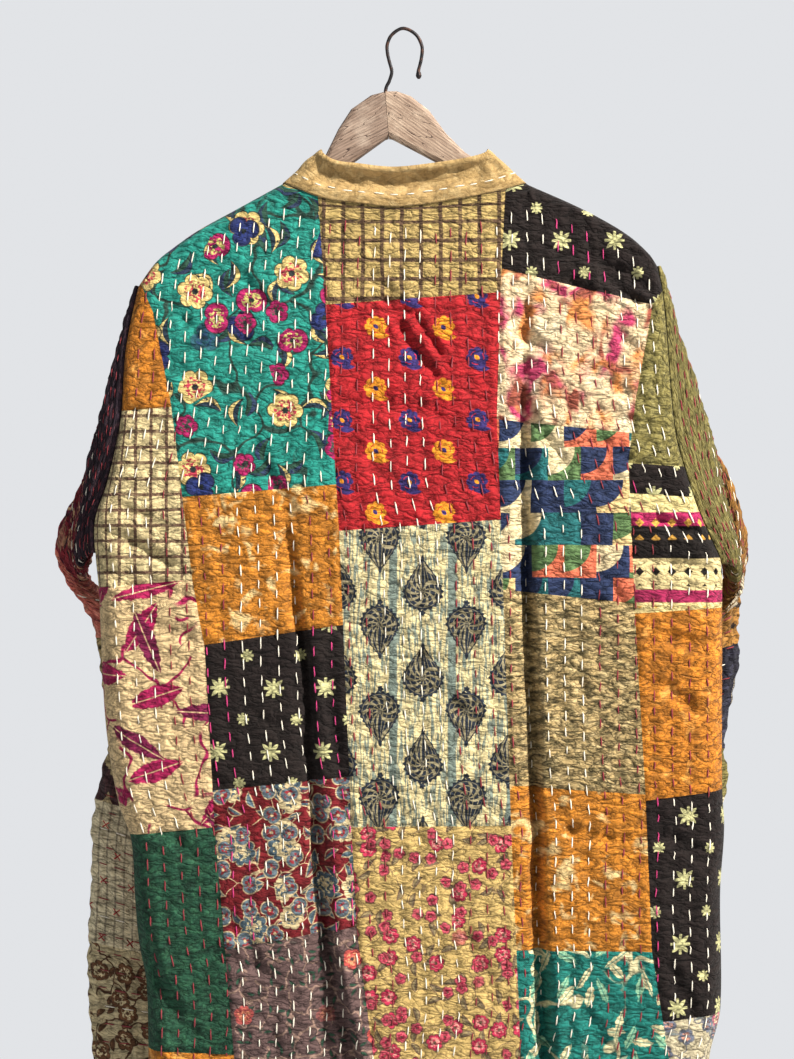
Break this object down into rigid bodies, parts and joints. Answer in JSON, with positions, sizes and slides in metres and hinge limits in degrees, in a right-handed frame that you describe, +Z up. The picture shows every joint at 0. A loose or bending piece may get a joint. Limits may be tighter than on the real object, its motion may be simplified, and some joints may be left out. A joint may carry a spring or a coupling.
{
  "type": "patchwork jacket on a wooden hanger",
  "caption": "Quilted patchwork cotton jacket with a stand collar, hung flat on a two-board wooden hanger with a wire hook.",
  "frame": {"origin": "under the crown of the hook's wire, where a peg or rail carries it", "axes": "+Z up, the jacket's back faces -Y, and the wearer's left side is at -X"},
  "size_m": [0.5624, 0.0798, 0.9068],
  "materials": {
    "patchwork_cotton": "matt printed cotton patches, quilted with running stitches",
    "collar_cotton": "matt tan cotton",
    "left_board": "weathered, dry, bare",
    "right_board": "weathered, dry, bare",
    "wire": "dark, slightly rusted"
  },
  "bodies": {
    "root": {"back": "patchwork_cotton", "front_left": "patchwork_cotton", "front_right": "patchwork_cotton", "sleeve_left": "patchwork_cotton", "sleeve_right": "patchwork_cotton", "collar": "collar_cotton", "hanger_left": "left_board", "hanger_right": "right_board", "hook": "wire"}
  },
  "joints": []
}
